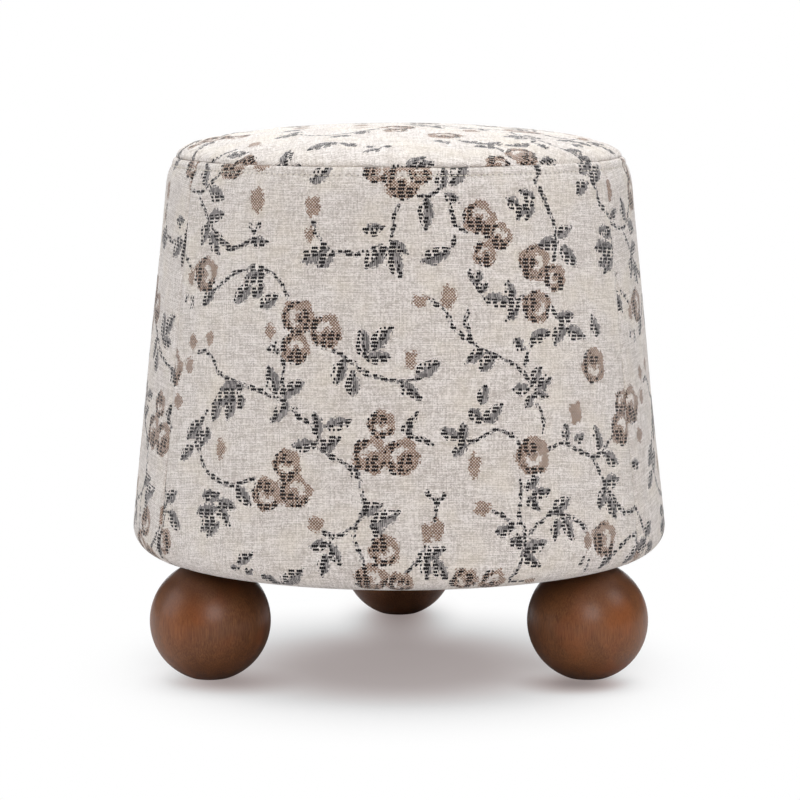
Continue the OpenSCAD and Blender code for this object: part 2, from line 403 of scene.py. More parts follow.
# Buds: middle, width, height.
BUDS = [
    (-107, 248, 12, 18), (-62, 243, 12, 15), (-64, 223, 8, 10), (-96, 155, 9, 11),
    (35, 179, 11, 17), (15, 176, 11, 9), (8, 135, 9, 13), (54, 60, 9, 17),
    (-60, 19, 11, 11), (20, 13, 8, 15), (28, 15, 8, 16), (60, 30, 12, 10),
    (139, 97, 12, 17), (150, 4, 8, 12), (-140, 71, 9, 14), (155, 339, 9, 11),
    (-152, 151, 8, 10), (151, 322, 9, 12), (136, 296, 12, 11), (-107, 273, 14, 6),
    (101, -25, 9, 6), (-30, 325, 10, 14), (52, 310, 9, 12),
]

# Leaves: base, tip.
LEAVES = [
    (-64, 260, -48, 272), (-70, 204, -50, 214), (-58, 200, -45, 211), (-112, 219, -98, 218),
    (-118, 194, -100, 195), (-127, 176, -111, 190), (-110, 179, -101, 189),
    (-104, 173, -88, 180), (-45, 118, -38, 137), (-32, 110, -33, 128), (-24, 137, -26, 157),
    (-18, 143, -5, 158), (-23, 137, -5, 137), (2, 275, 13, 285), (30, 255, 33, 271),
    (37, 258, 51, 275), (19, 248, 19, 226), (33, 252, 43, 246), (16, 204, 37, 212),
    (-24, 226, -10, 228), (-23, 200, -8, 214), (-6, 218, 6, 210), (-6, 212, 2, 193),
    (58, 127, 70, 138), (60, 141, 48, 133), (12, 124, 30, 134), (128, 160, 119, 145),
    (62, 178, 82, 176), (85, 178, 79, 190), (88, 172, 79, 163), (57, 198, 57, 188),
    (60, 183, 63, 189), (85, 150, 93, 142), (98, 150, 115, 155), (90, 254, 102, 250),
    (79, 248, 90, 244), (94, 244, 87, 234), (100, 246, 95, 235), (115, 279, 127, 277),
    (105, 270, 110, 280), (122, 223, 137, 230), (122, 220, 104, 216), (126, 216, 142, 203),
    (-90, 112, -97, 131), (-86, 110, -68, 119), (-140, 114, -118, 116),
    (-128, 110, -148, 103), (-127, 109, -134, 92), (-119, 110, -122, 100),
    (-142, 103, -148, 91), (-81, 103, -95, 91), (-57, 82, -61, 98), (-53, 88, -35, 92),
    (-77, 74, -60, 76), (-57, 71, -42, 80), (-32, 60, -28, 51), (-124, 45, -112, 32),
    (-141, 39, -154, 33), (-141, 34, -125, 29), (-140, 30, -131, 17), (-141, 28, -157, 23),
    (-141, 19, -153, 8), (-28, 27, -12, 33), (-20, 18, 0, 28), (-20, 20, -10, 10),
    (-64, 3, -50, 6), (-50, 5, -42, -8), (-52, -2, -56, -18), (-122, -10, -110, -3),
    (-130, -13, -123, -13), (-118, -18, -111, -15), (-104, -18, -92, -29),
    (-90, -29, -70, -13), (2, 119, 15, 108), (60, 104, 62, 118), (50, 100, 62, 92),
    (62, 91, 75, 103), (46, 78, 46, 91), (30, 86, 45, 80), (48, 77, 39, 67),
    (6, 82, 7, 92), (18, -5, 32, 2), (20, -6, 20, -20), (25, -6, 35, -20), (70, 13, 84, 17),
    (82, 8, 90, 3), (92, 0, 111, 6), (90, -2, 105, -11), (95, 43, 105, 52),
    (100, 40, 114, 42), (96, 38, 105, 28), (100, 110, 94, 101), (102, 112, 113, 109),
    (97, 115, 83, 114), (100, 118, 107, 130), (103, 116, 117, 122), (115, 25, 133, 36),
    (121, 22, 118, 7), (127, 22, 135, 7), (122, 164, 138, 168), (131, 157, 149, 152),
    (165, 152, 157, 167), (131, 78, 129, 90), (138, 78, 148, 81), (166, 70, 159, 88),
    (170, 67, 188, 60), (170, 47, 188, 49), (170, 43, 163, 27), (172, 36, 183, 20),
    (150, 270, 168, 282), (142, 255, 157, 263), (163, 216, 180, 220), (168, 228, 180, 231),
    (168, 203, 181, 213), (-150, 186, -160, 174), (-151, 86, -160, 74),
    (-60, 300, -44, 312), (-56, 296, -62, 280), (20, 318, 36, 326), (24, 312, 30, 298),
    (-10, 338, -26, 346), (84, 322, 70, 334), (90, 318, 104, 326), (-100, 322, -84, 330),
    (-104, 316, -112, 300),
]

# Stems: points along them.
STEMS = [
    [(-62, 233), (-60, 225), (-57, 220), (-52, 215), (-48, 211), (-40, 211), (-30, 209),
     (-22, 211), (-12, 216)],
    [(-5, 222), (-3, 230), (-3, 238), (0, 243)],
    [(-99, 218), (-112, 220), (-117, 218), (-125, 215), (-133, 214), (-140, 218),
     (-147, 222), (-151, 228)],
    [(-114, 231), (-110, 226), (-105, 232)],
    [(-158, 176), (-150, 183), (-145, 187), (-138, 191), (-130, 196), (-120, 199),
     (-110, 201), (-100, 199), (-93, 195), (-87, 190), (-83, 183), (-81, 178)],
    [(-92, 147), (-97, 143), (-88, 141), (-86, 136), (-84, 131), (-86, 120), (-84, 112),
     (-84, 105)],
    [(-47, 142), (-42, 140), (-38, 136), (-30, 131), (-25, 127), (-20, 124), (-10, 121),
     (0, 120), (10, 121), (15, 123)],
    [(-165, 141), (-157, 142), (-150, 137), (-146, 131), (-143, 126), (-134, 122),
     (-127, 120), (-120, 118), (-112, 115), (-103, 113), (-96, 109), (-90, 107),
     (-82, 104), (-76, 100), (-72, 94), (-64, 90), (-58, 84), (-56, 76), (-50, 67),
     (-42, 64), (-36, 60), (-31, 56), (-28, 50), (-26, 43), (-25, 35), (-24, 29),
     (-28, 23), (-31, 18), (-36, 15), (-42, 12), (-48, 11), (-54, 14)],
    [(-31, 18), (-32, 8), (-28, 0), (-26, -6), (-24, -12)],
    [(29, 255), (25, 252), (20, 249), (15, 250)],
    [(35, 246), (38, 236), (40, 230), (44, 226), (48, 225)],
    [(40, 222), (39, 218), (37, 213)],
    [(22, 177), (30, 172), (35, 167), (37, 160), (42, 155), (47, 150), (53, 147),
     (57, 143), (62, 141), (68, 139), (73, 137), (78, 134), (85, 131), (90, 127),
     (95, 123), (99, 117)],
    [(49, 170), (47, 160), (50, 155), (52, 148)],
    [(62, 178), (59, 181), (56, 186), (52, 192), (50, 197)],
    [(82, 176), (88, 177), (93, 180)],
    [(94, 131), (95, 138), (97, 144), (100, 149)],
    [(105, 275), (108, 268), (103, 262), (108, 253), (114, 243), (117, 236), (120, 230),
     (122, 222), (120, 210), (118, 204)],
    [(112, 180), (118, 170), (122, 165)],
    [(104, 103), (108, 97), (110, 90), (108, 82)],
    [(50, 77), (55, 78), (60, 81), (66, 84), (72, 86), (78, 84), (84, 81), (88, 77),
     (90, 72)],
    [(13, 98), (10, 93), (6, 84), (10, 81), (17, 79), (23, 76)],
    [(20, 42), (24, 38), (27, 34), (30, 38), (32, 41)],
    [(27, 34), (26, 27), (25, 22)],
    [(20, 4), (18, 2), (14, -5), (10, -10), (5, -14)],
    [(68, 28), (74, 26), (79, 22), (84, 18), (86, 13), (90, 6)],
    [(90, 50), (90, 42), (90, 35), (88, 25), (92, 15), (93, 8), (92, 0), (90, -8),
     (86, -16), (83, -20), (85, -24), (95, -24)],
    [(97, 10), (100, 15), (106, 20), (112, 24), (118, 26), (127, 24), (135, 22),
     (141, 19), (145, 17), (148, 12)],
    [(112, 70), (117, 73), (125, 76), (132, 75), (138, 72), (143, 69), (150, 67),
     (156, 65), (162, 66), (166, 68), (172, 72), (178, 78), (181, 80)],
    [(158, 62), (162, 57), (167, 51), (170, 45), (176, 38), (181, 35), (186, 30),
     (190, 27), (196, 24), (205, 25), (212, 27)],
    [(146, -8), (143, -12)],
    [(152, -10), (152, -18)],
    [(166, 280), (160, 266), (166, 257), (169, 250), (174, 245)],
    [(-155, 98), (-159, 93), (-162, 88), (-162, 80), (-162, 70), (-160, 64), (-157, 58),
     (-153, 55), (-146, 50), (-138, 46), (-130, 46), (-122, 47), (-115, 49), (-108, 51)],
    [(-120, 285), (-108, 300), (-98, 312), (-84, 318), (-70, 312), (-60, 300), (-48, 296)],
    [(10, 285), (18, 300), (24, 314), (16, 326), (0, 332), (-16, 330)],
    [(110, 320), (96, 316), (84, 320), (74, 312), (64, 308), (56, 304)],
]


def near(u, v, x, y, reach):
    """The vertices in a square that goes 5 mm past a motif's reach."""
    reach += 5
    return np.nonzero((np.abs(u - x) < reach) & (np.abs(v - y) < reach))[0]


def lower(field, spots, values):
    field[spots] = np.minimum(field[spots], values)


def draw_leaf(fields, u, v, x0, y0, x1, y1):
    """A pointed leaf: its right half is grey yarn, its left half broken black picks."""
    length = math.hypot(x1 - x0, y1 - y0)
    spots = near(u, v, (x0 + x1) / 2, (y0 + y1) / 2, length / 2)
    if not len(spots):
        return
    along_x, along_y = (x1 - x0) / length, (y1 - y0) / length
    side = 1 if along_x * 0.35 - along_y < 0 else -1
    along = (u[spots] - x0) * along_x + (v[spots] - y0) * along_y
    across = ((u[spots] - x0) * along_y - (v[spots] - y0) * along_x) * side
    share = np.clip(along / length, 0, 1)
    widest = 1.6 + length * 0.17
    half = widest * np.sin(math.pi * share ** 0.8) ** 0.75
    beyond = np.maximum(np.maximum(-along, along - length), 0)
    outside = np.hypot(np.maximum(np.abs(across) - half, 0), beyond)
    deepest = 3
    inside = np.minimum(half - np.abs(across), deepest) * (beyond == 0)
    gap = np.where(outside > 0, outside, -inside)
    lower(fields["leaf"], spots, np.maximum(gap, -1.4 - across))
    lower(fields["pick"], spots, np.maximum(gap - 1.1, across - 1.0))


def draw_stem(fields, u, v, points):
    """A thin grey line with black picks strung along it."""
    for (x0, y0), (x1, y1) in zip(points, points[1:]):
        length = math.hypot(x1 - x0, y1 - y0)
        spots = near(u, v, (x0 + x1) / 2, (y0 + y1) / 2, length / 2)
        if not len(spots):
            continue
        share = ((u[spots] - x0) * (x1 - x0) + (v[spots] - y0) * (y1 - y0)) / length ** 2
        share = np.clip(share, 0, 1)
        gap = np.hypot(u[spots] - x0 - share * (x1 - x0), v[spots] - y0 - share * (y1 - y0))
        lower(fields["leaf"], spots, gap - 0.7)
        lower(fields["pick"], spots, gap - 1.5)


def draw_blossom(fields, u, v, x, y, radius, turned):
    """A round tan blossom with a pale crescent in it and broken rings of black picks."""
    spots = near(u, v, x, y, radius)
    if not len(spots):
        return
    right, up = u[spots] - x, v[spots] - y
    angle = np.arctan2(up, right)
    away = np.hypot(right, up)
    turned = math.radians(turned)
    petals = 0.07 * np.sin(5 * angle + turned) + 0.05 * np.sin(3 * angle + 2 * turned)
    outline = radius * (0.99 + petals)
    ahead = right * math.cos(turned) + up * math.sin(turned)
    aside = up * math.cos(turned) - right * math.sin(turned)
    crescent = np.maximum(np.hypot(ahead - 0.2 * radius, aside / 1.3) - 0.36 * radius,
                          0.29 * radius - np.hypot(ahead + 0.06 * radius, aside))
    lower(fields["bloom"], spots, np.maximum(away - outline, -crescent))
    ring = np.abs(away - 0.8 * radius) + 5 * np.clip(np.cos(angle - 0.7) - 0.2, 0, 1)
    ring += 0.8 * np.sin(3 * angle + 2 * turned)
    heart = np.hypot(ahead + 0.34 * radius, aside / 1.3) - 0.32 * radius
    lower(fields["pick"], spots, np.minimum(ring - 2.2, heart))


def draw_bud(fields, u, v, x, y, width, height):
    """A small tan bud, wider above than below."""
    spots = near(u, v, x, y, max(width, height) / 2)
    if not len(spots):
        return
    right, up = (u[spots] - x) / width * 2, (v[spots] - y) / height * 2
    away = np.hypot(right / (1 + 0.15 * up), up)
    away += 0.1 * np.sin(4 * np.arctan2(up, right) + x)
    lower(fields["bloom"], spots, (away - 1) * min(width, height) * 0.5)


def weave_drawing(piece, u, v):
    """Stores how far each vertex is from the leaves, the black picks and the blossoms."""
    far, side_reach, low_reach, high_reach = 6.0, 230, 50, 370
    fields = {name: np.full(len(u), far) for name in ("leaf", "pick", "bloom")}
    for across in range(-4, 5):
        for up in range(-4, 5):
            if (across + up) % 2:
                continue
            shift_u, shift_v = across * COLUMN_GAP, up * HALF_REPEAT
            if shift_u - side_reach > u.max() or shift_u + side_reach < u.min():
                continue
            if shift_v - low_reach > v.max() or shift_v + high_reach < v.min():
                continue
            here = (fields, u - shift_u, v - shift_v)
            for leaf in LEAVES:
                draw_leaf(*here, *leaf)
            for stem in STEMS:
                draw_stem(*here, stem)
            for bud in BUDS:
                draw_bud(*here, *bud)
            for blossom in BLOSSOMS:
                draw_blossom(*here, *blossom)
    store = piece.data.attributes.new("drawing", "FLOAT_VECTOR", "POINT")
    store.data.foreach_set("vector", np.column_stack(list(fields.values())).ravel())


def lay_flat(piece, u, v):
    """Keeps each vertex's place on the flat cloth, in metres, as the UV map."""
    corners = np.empty(len(piece.data.loops), int)
    piece.data.loops.foreach_get("vertex_index", corners)
    layer = piece.data.uv_layers.new(name="cloth")
    layer.data.foreach_set("uv", np.column_stack([u[corners], v[corners]]).ravel() / 1000)


# The topstitching's needle holes are part of the cloth.
STITCHES = 244
STITCH_Z = 0.3771


def jacquard(start):
    """Cream slub linen with grey leaves, black picks and cross-hatched tan blossoms."""
    pick_gap, lattice_gap, weft_gap, warp_gap = 2.56, 2.3, 0.85, 0.9
    flat = start.node("ShaderNodeUVMap", {}, uv_map="cloth")
    u, v, _ = [part * 1000 for part in flat.parts()]
    leaf, pick, bloom = start.node("ShaderNodeAttribute", {}, 1, attribute_name="drawing").parts()

    def floor(value):
        return start.math("FLOOR", value)

    def fraction(value):
        return start.math("FRACT", value)

    def per_thread(across, up, seed):
        """One random value for each whole number of across and of up."""
        cell = start.point(floor(across) + seed, floor(up))
        return cell.node("ShaderNodeTexWhiteNoise", {"Vector": cell}, noise_dimensions="2D")

    # The ground: weft lines, slubs, flecks and uneven yarns both ways.
    waver = start.point(u * 0.03, v * 0.3).noise(1.0, 2.0)
    weft = start.math("SINE", v * 4.95 + waver * 3.0) * 0.5 + 0.5
    warp = start.math("SINE", u * 6.6 + v * 0.2) * 0.5 + 0.5
    slub = start.point(u * 0.06, v * 0.8).noise(1.0, 3.0, 0.6)
    streak = start.point(u * 0.8, v * 0.05).noise(1.0, 3.0, 0.6)
    mottle = start.point(u * 0.03, v * 0.03).noise(1.0, 2.0)
    grit = per_thread(u / 0.95, v / 0.8, 0)
    lying, standing = v / weft_gap, u / warp_gap
    yarn = per_thread(u / 10 + fraction(floor(lying) * 0.37), lying, 13)
    upright_yarn = per_thread(standing, v / 8 + fraction(floor(standing) * 0.41), 17)
    shade = (weft * 0.16 + slub.fade(0.3, 0.7) * 0.08 + streak.fade(0.3, 0.7) * 0.07
             + grit * 0.32 + yarn * 0.2 + upright_yarn * 0.17)
    ground = shade.fade(0.15, 0.85).blend(tint(182, 170, 161), tint(244, 236, 231))
    warm = mottle.fade(0.4, 0.75) * 0.35
    ground = warm.blend(ground, tint(230, 217, 198))

    # Grey leaves: fine upright hatching with ragged, stepped edges.
    ragged = per_thread(u / 1.6, v / pick_gap * 2, 7) * 2.4 - 1.2
    uprights = per_thread(u / 0.75, v / pick_gap, 5)
    hatch = start.math("SINE", u * 4.6 + waver * 4) * 0.25 + uprights * 0.75
    grey = hatch.fade(-0.1, 0.9).blend(tint(82, 78, 78), tint(172, 165, 162))
    colour = ((leaf + ragged) < 0).blend(ground, grey)

    # Tan blossoms: a lattice of two slanting sets of threads over the cream ones.
    falling = start.math("ABSOLUTE", fraction((u + v) / lattice_gap + waver * 0.3) - 0.5)
    rising = start.math("ABSOLUTE", fraction((u - v) / lattice_gap) - 0.5)
    lattice = start.math("MAXIMUM", falling, rising).fade(0.18, 0.3)
    depth = per_thread(u / lattice_gap, v / pick_gap * 2, 11)
    tan = depth.blend(tint(114, 86, 68), tint(162, 133, 114))
    tan_mask = ((bloom + ragged) < 0) * lattice
    colour = tan_mask.blend(colour, tan)

    # Black picks, in rows. Each thread that comes up shows as a dot.
    row = v / pick_gap
    beside = u / 1.55 + fraction(floor(row) * 0.62)
    along = (fraction(beside) - 0.5) * 1.83
    over = (fraction(row) - 0.5) * 2.55
    dot = (along * along + over * over).fade(1.27, 0.8)
    run_end = per_thread(beside * 0.25, row, 21) * 2.0 - 1.0
    shown = (fraction(beside * 0.25) < 0.75) * (per_thread(beside, row, 3) < 0.92)
    pick_mask = ((pick + run_end) < 0) * shown * dot
    colour = pick_mask.blend(colour, tint(16, 11, 14))

    # Needle holes between the stitches under the top seam, dented and darkened with painted shade.
    x, y, z = place(start)
    near_row = start.math("ABSOLUTE", z - STITCH_Z * 1000)
    between = start.math("COSINE", start.math("ARCTAN2", y, x) * STITCHES)
    needle_dent_and_shade = near_row.fade(0.9, 0.3) * between.fade(-0.35, -0.7)
    colour = (needle_dent_and_shade * 0.4).blend(colour, tint(104, 94, 84))

    relief = weft * 0.5 + warp * 0.25 + slub * 0.5 + grit * 0.4 + pick_mask * 0.6 + tan_mask * 0.3
    rough = (grit * 0.5 + slub * 0.5).fade(0, 1, 0.78, 0.96)
    return {"Base Color": colour, "Roughness": rough, "Sheen Weight": 0.15,
            "Specular IOR Level": 0.25, "Normal": (relief - needle_dent_and_shade).bump(0.5, 0.0005)}


cloth = finish("floral_jacquard", jacquard)

# Laid flat, a side panel is part of a ring: the ring's radius, how far a turn about the axis
# turns it, and the height at which v is 0, in millimetres.
cone_r = 1842.4
cone_turn = math.sin(math.radians(6.33))
slant_zero = 117.0


def slant_of(radius, height):
    """How far up the panel's outline a place is, in millimetres from its lower part."""
    low_x, low_z, low_r = (size * 1000 for size in (edge_x, edge_z, edge_r))
    high_x, high_z, high_r = (size * 1000 for size in (shoulder_x, shoulder_z, shoulder_r))
    side_foot = low_z + low_r * math.sin(lean)
    side_top = high_z + high_r * math.sin(lean)
    at_foot = (side_foot - slant_zero) / math.cos(lean)
    at_edge = at_foot - low_r * (math.pi / 2 + lean)
    at_top = (side_top - slant_zero) / math.cos(lean)
    round_edge = np.arctan2(height - low_z, np.maximum(radius - low_x, 0))
    round_top = np.arctan2(height - high_z, radius - high_x)
    slant = (height - slant_zero) / math.cos(lean)
    slant = np.where(height < side_foot, at_foot + low_r * (round_edge - lean), slant)
    on_hem = (radius < low_x) & (height < low_z)
    slant = np.where(on_hem, at_edge + radius - low_x, slant)
    return np.where(height > side_top, at_top + high_r * (round_top - lean), slant)


def thicken(piece, thickness, offset):
    """Gives a single layer its thickness, as the only piece that is selected."""
    bpy.ops.object.select_all(action="DESELECT")
    piece.select_set(True)
    bpy.context.view_layer.objects.active = piece
    wall = piece.modifiers.new("cloth_thickness", "SOLIDIFY")
    wall.thickness = thickness
    wall.offset = offset
    bpy.ops.object.modifier_apply(modifier=wall.name)


# One panel is drawn and spun through 120 degrees, and the three side panels are copies of
# it. Each starts at its own angle, in degrees, and at its own place on the cloth.
cloth_t = 0.0012
hem_x, hem_z, hem_step, hem_steps = 0.140, 0.0849, 0.0075, 6
side_steps = 154
panel_outline = (
    [(hem_x + hem_step * k, hem_z) for k in range(hem_steps)]
    + arc(edge_x, edge_z, edge_r, -math.pi / 2, lean, count=18)
)
side_x, side_z = panel_outline[-1]
rise_x = shoulder_x + shoulder_r * math.cos(lean) - side_x
rise_z = shoulder_z + shoulder_r * math.sin(lean) - side_z
panel_outline += [(side_x + rise_x * k / side_steps, side_z + rise_z * k / side_steps)
                  for k in range(1, side_steps + 1)]
panel_outline += arc(shoulder_x, shoulder_z, shoulder_r, lean, seam_angle, count=14)[1:]
seam_slant = float(slant_of(*np.array(panel_outline[-1]) * 1000))
panel_turn = 120
first_panel = turn("drawn_panel", panel_outline, steps=236, sweep=math.radians(panel_turn))
panel_starts = {"front": (210, 0, 2), "rear_right": (330, -5, 31), "rear_left": (90, -192, -6)}

# How far up a panel, in millimetres, the raised band begins, and where the groove under it
# and the row of puckers are.
band_foot, groove, pucker_row = 262.6, 262.4, 258
for side, (from_angle, start_u, start_v) in panel_starts.items():
    panel = first_panel.copy()
    panel.data = first_panel.data.copy()
    panel.name = panel.data.name = f"side_panel_{side}"
    bpy.context.collection.objects.link(panel)
    panel.data.transform(Matrix.Rotation(math.radians(from_angle), 4, "Z"))
    places = points_of(panel)
    radius = np.hypot(places[:, 0], places[:, 1])
    middle = math.radians(from_angle + panel_turn / 2)
    theta = np.arctan2(places[:, 1], places[:, 0]) - middle
    theta = (theta + math.pi) % math.tau - math.pi
    slant = slant_of(radius, places[:, 2])
    u = (cone_r - slant) * np.sin(theta * cone_turn) + start_u
    v = cone_r - (cone_r - slant) * np.cos(theta * cone_turn) + start_v
    weave_drawing(panel, u, v)
    lay_flat(panel, u, v)

    # The foam's fullness, the raised band under the top seam, and the upright seams' roll.
    around = theta * radius
    swell = 0.35 * np.sin(around / 31 + slant / 57 + middle)
    swell += 0.2 * np.sin(around / 17 - slant / 43 + 2)
    swell += 0.2 * np.sin(slant / 23 + 1.7 + 0.6 * np.sin(around / 40))
    swell *= np.clip((slant + 40) / 30, 0, 1)
    in_band = np.clip((slant - band_foot) / (seam_slant - band_foot), 0, 1)
    band = 0.9 * np.sin(math.pi * in_band) ** 0.8 - 0.2 * in_band ** 6
    band -= 0.35 * np.exp(-((slant - groove) / 1.3) ** 2)
    pucker = 0.25 * np.sin(around / 2.6 + 1.5 * np.sin(around / 19))
    pucker *= np.exp(-((slant - pucker_row) / 5) ** 2)
    edge_gap = (math.radians(panel_turn / 2) - np.abs(theta)) * radius
    roll = -0.6 * np.exp(-edge_gap / 1.4) + 0.2 * np.exp(-((edge_gap - 5) / 3) ** 2)
    roll *= np.clip((slant + 60) / 30, 0, 1)
    out = swell * 0.8 + band + pucker + roll
    move_points(panel, places + vertex_rows(panel, "normal") * out[:, None])
    thicken(panel, cloth_t, offset=-1)
    settle(panel, cloth, "floral_cover", f"side_cover_{side}")
bpy.data.objects.remove(first_panel)

# Top panel of the cover
# A round panel of the same cloth, sewn to the side panels at the topstitched seam and
# bulging up over the wadding from there.


def square_grid(steps):
    """Adds a grid that goes from -1 m to 1 m both ways."""
    bpy.ops.object.select_all(action="DESELECT")
    bpy.ops.mesh.primitive_grid_add(x_subdivisions=steps, y_subdivisions=steps, size=2)
    return bpy.context.object


def creases(grid, rings, inwards, outwards):
    """Blows up a grid of cloth that is held at its rim.

    Returns how each point moves along its normal, less its ring's mean, within the limits.
    """
    sample = square_grid(len(grid) - 1)
    on_rim = np.abs(points_of(sample)[:, :2]).max(axis=1) > 999
    move_points(sample, grid.reshape(-1, 3))
    normals = vertex_rows(sample, "normal")
    sample.vertex_groups.new(name="rim").add(np.nonzero(on_rim)[0].tolist(), 1.0, "REPLACE")
    cloth_step = sample.modifiers.new("fullness", "CLOTH")
    settings = cloth_step.settings
    settings.vertex_group_mass = "rim"
    settings.tension_stiffness = settings.compression_stiffness = 60
    settings.bending_stiffness = 2
    settings.shrink_min = -0.003
    settings.use_pressure = True
    settings.uniform_pressure_force = 4
    settings.effector_weights.gravity = 0
    last_frame = 20
    for step in range(1, last_frame + 1):
        bpy.context.scene.frame_set(step)
    bpy.ops.object.modifier_apply(modifier=cloth_step.name)
    moves = points_of(sample) - grid.reshape(-1, 3)
    bpy.data.objects.remove(sample)
    bpy.context.scene.frame_set(1)
    out = (moves * normals).sum(axis=1)
    counts = np.bincount(rings)
    out -= (np.bincount(rings, out) / np.maximum(counts, 1))[rings]
    return (normals * np.clip(out, -inwards, outwards)[:, None]).reshape(grid.shape)


# The crown's half section, and the run of cloth along it from the middle to the seam.
rim_r = 167.743
crown_angles = np.linspace(0, math.pi / 2, 600)
crown_radii = rim_r * np.sin(crown_angles)
crown_heights = seam_z * 1000 + crown_h * 1000 * np.cos(crown_angles)
crown_steps = np.hypot(np.diff(crown_radii), np.diff(crown_heights))
crown_run = np.concatenate([[0], np.cumsum(crown_steps)])

# A square grid is rounded to a disc and laid on the crown.
top_steps = 196
top_start_u, top_start_v = 192, 37
top_panel = square_grid(top_steps)
top_panel.name = top_panel.data.name = "top_panel"
square = points_of(top_panel) / 1000
disc_x = square[:, 0] * np.sqrt(1 - square[:, 1] ** 2 / 2)
disc_y = square[:, 1] * np.sqrt(1 - square[:, 0] ** 2 / 2)
from_middle = np.minimum(np.hypot(disc_x, disc_y), 1)
bearing = np.arctan2(disc_y, disc_x)
run = from_middle * crown_run[-1]
top_u, top_v = run * np.cos(bearing), run * np.sin(bearing)
radius = np.interp(run, crown_run, crown_radii)
height = np.interp(run, crown_run, crown_heights)
to_seam = crown_run[-1] - run
tuck = 0.2 * np.clip(1 - to_seam / 2.5, 0, 1) ** 2
pucker = 0.25 * np.sin(bearing * 62 + 1.5 * np.sin(bearing * 9))
pucker *= np.exp(-((to_seam - 5) / 4) ** 2)
swell = 0.5 * np.sin(top_u / 29 + 1) * np.sin(top_v / 33 + 2)
swell += 0.2 * np.sin(top_u / 13 - top_v / 21)
swell *= np.clip(to_seam / 20, 0, 1)
radius = radius - 0.8 * tuck + pucker
height = height - 0.6 * tuck + swell + pucker * 0.5
places = np.column_stack([radius * np.cos(bearing), radius * np.sin(bearing), height])
places = places.reshape(top_steps + 1, top_steps + 1, 3)
coarse = from_middle.reshape(places.shape[:2])[::2, ::2]
rings = np.round(coarse * 40).astype(int).ravel()
moves = creases(places[::2, ::2], rings, inwards=0.1, outwards=1.2)
places[::2, ::2] += moves
places[1::2, ::2] += (moves[:-1] + moves[1:]) / 2
places[::2, 1::2] += (moves[:, :-1] + moves[:, 1:]) / 2
places[1::2, 1::2] += (moves[:-1, :-1] + moves[1:, :-1] + moves[:-1, 1:] + moves[1:, 1:]) / 4
places = places.reshape(-1, 3)
move_points(top_panel, places)
weave_drawing(top_panel, top_start_u - top_u, top_start_v - top_v)
lay_flat(top_panel, top_start_u - top_u, top_start_v - top_v)
thicken(top_panel, cloth_t, offset=-1)
bpy.ops.object.shade_smooth()
settle(top_panel, cloth, "floral_cover", "top_cover")

# Topstitching
# One row of cream thread, 4.4 mm stitches, sewn right round just under the top seam so that
# the seam's turned edges lie flat behind a narrow band.


def sewing_thread(start):
    x, y, z = place(start)
    twist = start.math("SINE", (x + y) * 9 + z * 14)
    fuzz = start.point(x, y, z).noise(3.0, 2.0)
    colour = (twist * 0.3 + fuzz).fade(0.2, 0.9).blend(tint(214, 203, 188), tint(238, 231, 220))
    return {"Base Color": colour, "Roughness": fuzz.fade(0, 1, 0.45, 0.65),
            "Normal": twist.bump(0.4, 0.0001)}


def draw_tips(name, sides, radius, length, place, tip):
    """Adds a short rod along Y, and draws out its two ends. They stay selected in edit mode."""
    bpy.ops.object.select_all(action="DESELECT")
    bpy.ops.mesh.primitive_cylinder_add(
        vertices=sides, radius=radius, depth=length, location=place,
        rotation=(math.pi / 2, 0, 0))
    rod = bpy.context.object
    rod.name = rod.data.name = name
    bpy.ops.object.transform_apply(location=True, rotation=True, scale=True)
    bpy.ops.object.mode_set(mode="EDIT")
    bpy.ops.mesh.select_mode(type="FACE")
    bpy.ops.mesh.select_all(action="DESELECT")
    shape = bmesh.from_edit_mesh(rod.data)
    for face in shape.faces:
        face.select = abs(face.normal.y) > 0.9
    bmesh.update_edit_mesh(rod.data)
    bpy.ops.mesh.extrude_region_shrink_fatten(TRANSFORM_OT_shrink_fatten={"value": tip})
    return rod


def repeat_round(count):
    """Copies the mesh in edit mode round the upright axis."""
    bpy.ops.mesh.select_all(action="SELECT")
    bpy.ops.mesh.spin(steps=count, angle=math.tau, dupli=True, center=(0, 0, 0), axis=(0, 0, 1))
    bpy.ops.mesh.select_all(action="SELECT")
    bpy.ops.mesh.remove_doubles(threshold=1e-6)
    bpy.ops.object.mode_set(mode="OBJECT")


stitch_r, thread_r, stitch_length, stitch_tip = 0.1710, 0.00035, 0.0024, 0.0004
stitching = draw_tips("top_stitching", 6, thread_r, stitch_length, (stitch_r, 0, STITCH_Z),
                      stitch_tip)
sunk_tip = (stitch_r - stitch_tip, 0, STITCH_Z)
bpy.ops.transform.resize(value=(0.4, 1, 0.4), center_override=sunk_tip)
repeat_round(STITCHES)
bpy.ops.object.shade_smooth()
settle(stitching, finish("cream_thread", sewing_thread), "floral_cover")

# Dust cover and staples
# Black non-woven cloth closes the underside over the stapled hem. Wire staples hold it
# every 30 mm, 8 mm in from its edge.


def dust_cloth(start):
    x, y, z = place(start)
    dimples = start.math("SINE", x * 2.4) * start.math("SINE", y * 2.4)
    fibres = start.point(x, y, z).noise(1.2, 5.0, 0.7)
    tone = (fibres * 0.7 + dimples * 0.15).fade(0.2, 0.8)
    colour = tone.blend(tint(26, 26, 29), tint(52, 51, 54))
    return {"Base Color": colour, "Roughness": fibres.fade(0, 1, 0.75, 0.95),
            "Normal": (dimples * 0.5 + fibres).bump(0.4, 0.0003)}


